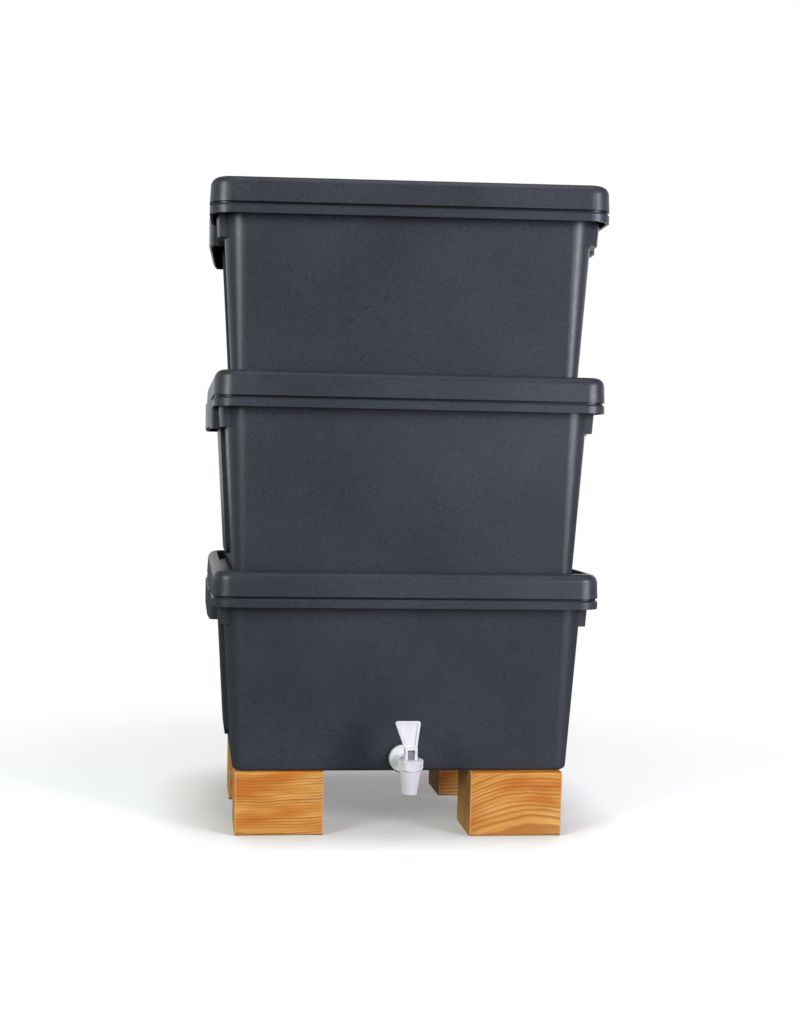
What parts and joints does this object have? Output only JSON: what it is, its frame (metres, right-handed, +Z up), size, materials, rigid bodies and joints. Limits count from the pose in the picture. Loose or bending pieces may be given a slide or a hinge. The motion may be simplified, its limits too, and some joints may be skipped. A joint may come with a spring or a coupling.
{
  "type": "wormery",
  "caption": "Stacked wormery: tapered lidded plastic boxes with hand grips, a sump with a push tap, on timber blocks.",
  "frame": {"origin": "on the ground, under the middle of the whole stack and its tap", "axes": "+Z up, the longest extent; the tap is at the front, towards -Y; +X is to the right for someone facing the tap"},
  "size_m": [0.415, 0.3887, 0.665],
  "materials": {
    "box_plastic": "finely grained, matt",
    "pine": "planed, unpainted",
    "tap_plastic": "smooth moulded",
    "stem_plastic": "moulded",
    "seal_rubber": "matt",
    "pin_steel": "drawn wire"
  },
  "bodies": {
    "base": {"sump_box": "box_plastic", "block_front_left": "pine", "block_front_right": "pine", "block_back_left": "pine", "block_back_right": "pine", "tap_body": "tap_plastic", "tap_bonnet_nut": "tap_plastic", "tap_outer_washer": "seal_rubber", "tap_inner_washer": "seal_rubber", "tap_backnut": "tap_plastic", "tap_spring": "pin_steel"},
    "sump_lid": {"sump_lid": "box_plastic"},
    "lower_tray": {"lower_tray": "box_plastic"},
    "lower_tray_lid": {"lower_tray_lid": "box_plastic"},
    "upper_tray": {"upper_tray": "box_plastic"},
    "top_lid": {"top_lid": "box_plastic"},
    "tap_valve": {"tap_stem": "stem_plastic", "tap_seat_cup": "seal_rubber"},
    "tap_lever": {"tap_lever": "tap_plastic", "tap_lever_pin": "pin_steel"}
  },
  "joints": [
    {"name": "sump_lid_lift", "type": "slide", "parent": "base", "child": "sump_lid", "axis": [0, 0, 1], "range_m": [0, 0.06]},
    {"name": "lower_tray_lift", "type": "slide", "parent": "sump_lid", "child": "lower_tray", "axis": [0, 0, 1], "range_m": [0, 0.06]},
    {"name": "lower_tray_lid_lift", "type": "slide", "parent": "lower_tray", "child": "lower_tray_lid", "axis": [0, 0, 1], "range_m": [0, 0.06]},
    {"name": "upper_tray_lift", "type": "slide", "parent": "lower_tray_lid", "child": "upper_tray", "axis": [0, 0, 1], "range_m": [0, 0.06]},
    {"name": "top_lid_lift", "type": "slide", "parent": "upper_tray", "child": "top_lid", "axis": [0, 0, 1], "range_m": [0, 0.06]},
    {"name": "tap_valve_lift", "type": "slide", "parent": "base", "child": "tap_valve", "axis": [0, -0.0577, 0.9983], "range_m": [0, 0.0023], "deforming": ["tap_spring"]},
    {"name": "tap_lever_push", "type": "hinge", "parent": "tap_valve", "child": "tap_lever", "pos_m": [-0.00221, -0.18273, 0.09788], "axis": [1, 0, 0], "range_deg": [0, 35], "stiffness_Nm_per_rad": 0.05, "springref_deg": -8.59}
  ],
  "couplings": [
    {"joint": "tap_valve_lift", "follows": "tap_lever_push", "m_per_rad": 0.0037}
  ]
}
